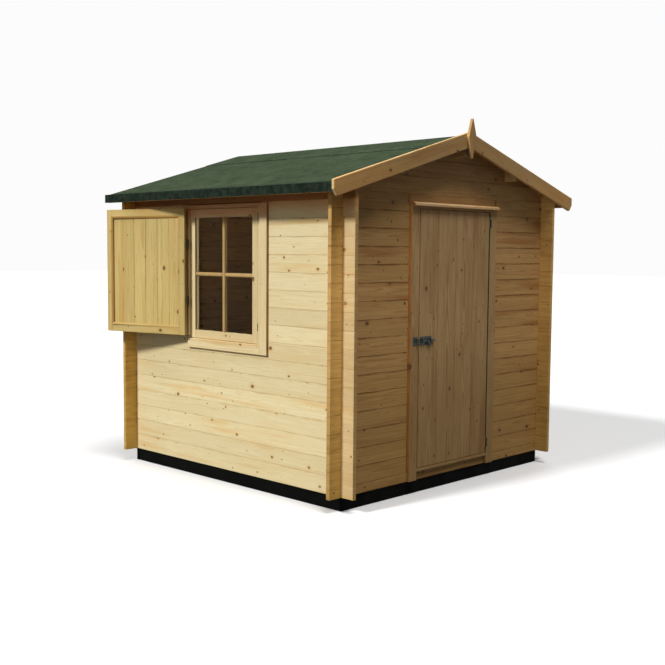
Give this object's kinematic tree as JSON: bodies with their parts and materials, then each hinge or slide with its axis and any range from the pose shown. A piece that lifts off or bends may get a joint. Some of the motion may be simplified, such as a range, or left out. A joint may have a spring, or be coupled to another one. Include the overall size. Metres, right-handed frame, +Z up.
{
  "type": "garden log cabin",
  "caption": "Square garden cabin of interlocking logs on bearers, with a felted gable roof, a boarded door with a bolt, and a window with a hinged shutter.",
  "frame": {"origin": "middle of the plan on the ground, at the underside of the middle floor joist", "axes": "+Z up; -Y towards the wall with the door; -X towards the wall with the window"},
  "size_m": [2.6101, 2.422, 2.4808],
  "materials": {
    "side_wall_logs": "bare planed pine logs, pale, with grooved joints",
    "end_wall_logs": "bare planed pine logs, tanned, with grooved joints",
    "carcass_timber": "bare sawn pine",
    "barge_timber": "bare planed pine, weathered",
    "door_timber": "bare planed pine boards",
    "window_timber": "bare planed pine",
    "bearers": "black preservative coat",
    "roofing_felt": "green mineral felt",
    "ironmongery": "black painted steel",
    "glass": "clear sheet glass"
  },
  "bodies": {
    "cabin": {"base_bearers": "bearers", "floor_joists": "bearers", "floor": "carcass_timber", "front_sill_log": "end_wall_logs", "front_wall_left": "end_wall_logs", "front_wall_right": "end_wall_logs", "door_header_log": "end_wall_logs", "front_gable": "end_wall_logs", "window_wall_below": "side_wall_logs", "window_wall_front": "side_wall_logs", "window_wall_back": "side_wall_logs", "window_wall_above": "side_wall_logs", "right_wall": "side_wall_logs", "back_wall": "end_wall_logs", "back_gable": "end_wall_logs", "ridge_purlin": "carcass_timber", "side_purlins": "carcass_timber", "roof_boards_left": "carcass_timber", "roof_boards_right": "carcass_timber", "felt_left": "roofing_felt", "felt_right": "roofing_felt", "ridge_felt_cap": "roofing_felt", "eave_trims": "carcass_timber", "barge_front_left": "barge_timber", "barge_front_right": "barge_timber", "barge_back_left": "barge_timber", "barge_back_right": "barge_timber", "finial": "barge_timber", "door_frame": "door_timber", "drip_strip": "door_timber", "door_hinge_plates": "ironmongery", "bolt_keep": "ironmongery", "window_casing": "window_timber", "window_trim": "window_timber", "window_sash": "window_timber", "window_glass": "glass", "shutter_hinge_plates": "ironmongery"},
    "door": {"door_boards": "door_timber", "door_ledges": "door_timber", "door_hinge_leaves": "ironmongery", "bolt_plate": "ironmongery"},
    "bolt": {"bolt_rod": "ironmongery"},
    "shutter": {"shutter_frame": "window_timber", "shutter_boards": "window_timber", "shutter_hinge_leaves": "ironmongery"}
  },
  "joints": [
    {"name": "door_hinge", "type": "hinge", "parent": "cabin", "child": "door", "pos_m": [0.38575, -1.1163, 1], "axis": [0, 0, 1], "range_deg": [0, 105]},
    {"name": "bolt_slide", "type": "slide", "parent": "door", "child": "bolt", "axis": [-1, 0, 0], "range_m": [0, 0.038]},
    {"name": "shutter_hinge", "type": "hinge", "parent": "cabin", "child": "shutter", "pos_m": [-1.122, 0.388, 1.4], "axis": [0, 0, 1], "range_deg": [-7, 167]}
  ]
}
